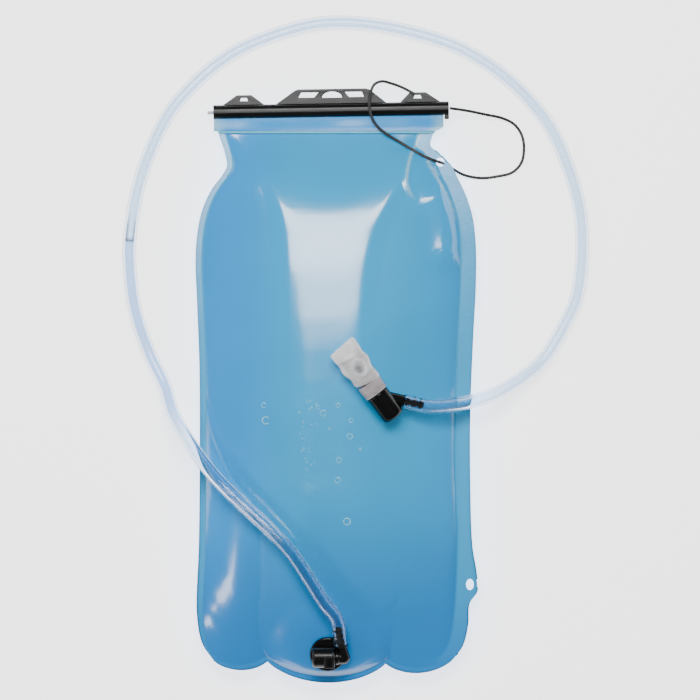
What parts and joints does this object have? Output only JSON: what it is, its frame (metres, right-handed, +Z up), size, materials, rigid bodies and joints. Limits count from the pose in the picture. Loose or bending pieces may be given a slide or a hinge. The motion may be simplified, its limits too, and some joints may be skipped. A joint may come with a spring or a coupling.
{
  "type": "hydration bladder",
  "caption": "Soft film water reservoir with a slide-lock mouth, an outlet port with a quick-release plug, a drinking hose and a bite valve.",
  "frame": {"origin": "on the floor, under the middle of the box of the filled reservoir lying on its back", "axes": "+Z up, away from the floor; +Y towards the mouth; +X towards the side the closure slides off"},
  "size_m": [0.3271, 0.4679, 0.0675],
  "materials": {
    "film": "translucent glossy blue film",
    "film_bead": "glossy bright blue bead",
    "closure_plastic": "satin black moulded plastic",
    "port_plastic": "black moulded plastic",
    "button_plastic": "black moulded plastic",
    "valve_plastic": "black moulded plastic",
    "white_plastic": "natural acetal",
    "seal_rubber": "black rubber",
    "spring_steel": "stainless steel",
    "collar_rubber": "ribbed grey rubber",
    "clear_silicone": "translucent grey silicone",
    "clear_hose": "clear flexible tube",
    "tether_strap": "black elastic strap"
  },
  "bodies": {
    "reservoir": {"front_panel": "film", "back_panel": "film", "hem_rod": "white_plastic", "front_lip_bead": "film_bead", "rear_lip_bead": "film_bead", "port_flange": "port_plastic", "port_gasket": "seal_rubber", "port_housing": "port_plastic", "chamber_cap": "port_plastic", "poppet_spring": "spring_steel", "button_spring": "spring_steel", "closure_tether": "tether_strap"},
    "slider": {"closure_slider": "closure_plastic"},
    "button": {"release_button": "button_plastic", "latch_plate": "spring_steel"},
    "poppet": {"shutoff_poppet": "white_plastic"},
    "plug": {"plug_spigot": "port_plastic", "spigot_o_ring": "seal_rubber", "swivel_o_ring": "seal_rubber", "drinking_hose": "clear_hose", "bite_valve_body": "valve_plastic"},
    "elbow": {"hose_elbow": "port_plastic"},
    "bite_head": {"mouthpiece": "clear_silicone", "valve_collar": "collar_rubber", "valve_stem": "white_plastic", "stem_o_ring": "seal_rubber"}
  },
  "joints": [
    {"name": "slider_slide", "type": "slide", "parent": "reservoir", "child": "slider", "axis": [0.9999, 0.0166, 0], "range_m": [0, 0.165], "deforming": ["closure_tether"]},
    {"name": "button_press", "type": "slide", "parent": "reservoir", "child": "button", "axis": [0, 0.309, -0.9511], "range_m": [0, 0.0015], "stiffness_N_per_m": 600, "springref_m": -0.002, "deforming": ["button_spring"]},
    {"name": "plug_slide", "type": "slide", "parent": "reservoir", "child": "plug", "axis": [1, 0, 0], "range_m": [0, 0.01], "deforming": ["drinking_hose"]},
    {"name": "poppet_slide", "type": "slide", "parent": "reservoir", "child": "poppet", "axis": [1, 0, 0], "range_m": [0, 0.0021], "stiffness_N_per_m": 60, "springref_m": 0.004, "deforming": ["poppet_spring"]},
    {"name": "elbow_swivel", "type": "hinge", "parent": "plug", "child": "elbow", "pos_m": [0.005, -0.19008, 0.03651], "axis": [1, 0, 0], "range_deg": [0, 60], "deforming": ["drinking_hose"]},
    {"name": "bite_head_twist", "type": "hinge", "parent": "plug", "child": "bite_head", "pos_m": [0.0281, -0.0052, 0.0578], "axis": [-0.5985, 0.7943, 0.1045], "range_deg": [0, 90]}
  ],
  "couplings": [
    {"joint": "poppet_slide", "follows": "plug_slide", "ratio": 0.21}
  ]
}
